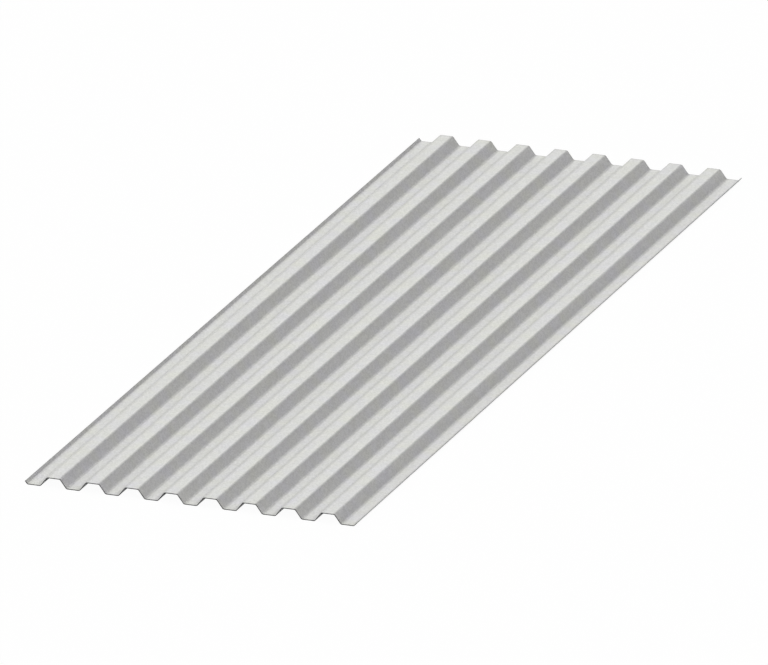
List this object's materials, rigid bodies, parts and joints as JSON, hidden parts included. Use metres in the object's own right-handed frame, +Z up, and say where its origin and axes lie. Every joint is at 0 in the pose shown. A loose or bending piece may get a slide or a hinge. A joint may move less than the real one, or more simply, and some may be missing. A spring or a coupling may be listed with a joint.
{
  "type": "corrugated metal sheet",
  "caption": "Trapezoidal profiled steel sheet with flat-topped ribs along its length and a trough with a short turned-up lip at each side edge, for roofing, cladding or decking.",
  "frame": {"origin": "middle of the sheet in plan, at the level of the trough undersides that it rests on", "axes": "+Z up out of the crests, +Y along the ribs, +X across them"},
  "size_m": [0.9676, 3.048, 0.0274],
  "materials": {
    "galvanised_steel": "hot-dip galvanised, fine even spangle, dull pale grey"
  },
  "bodies": {
    "root": {"profiled_sheet": "galvanised_steel"}
  },
  "joints": []
}
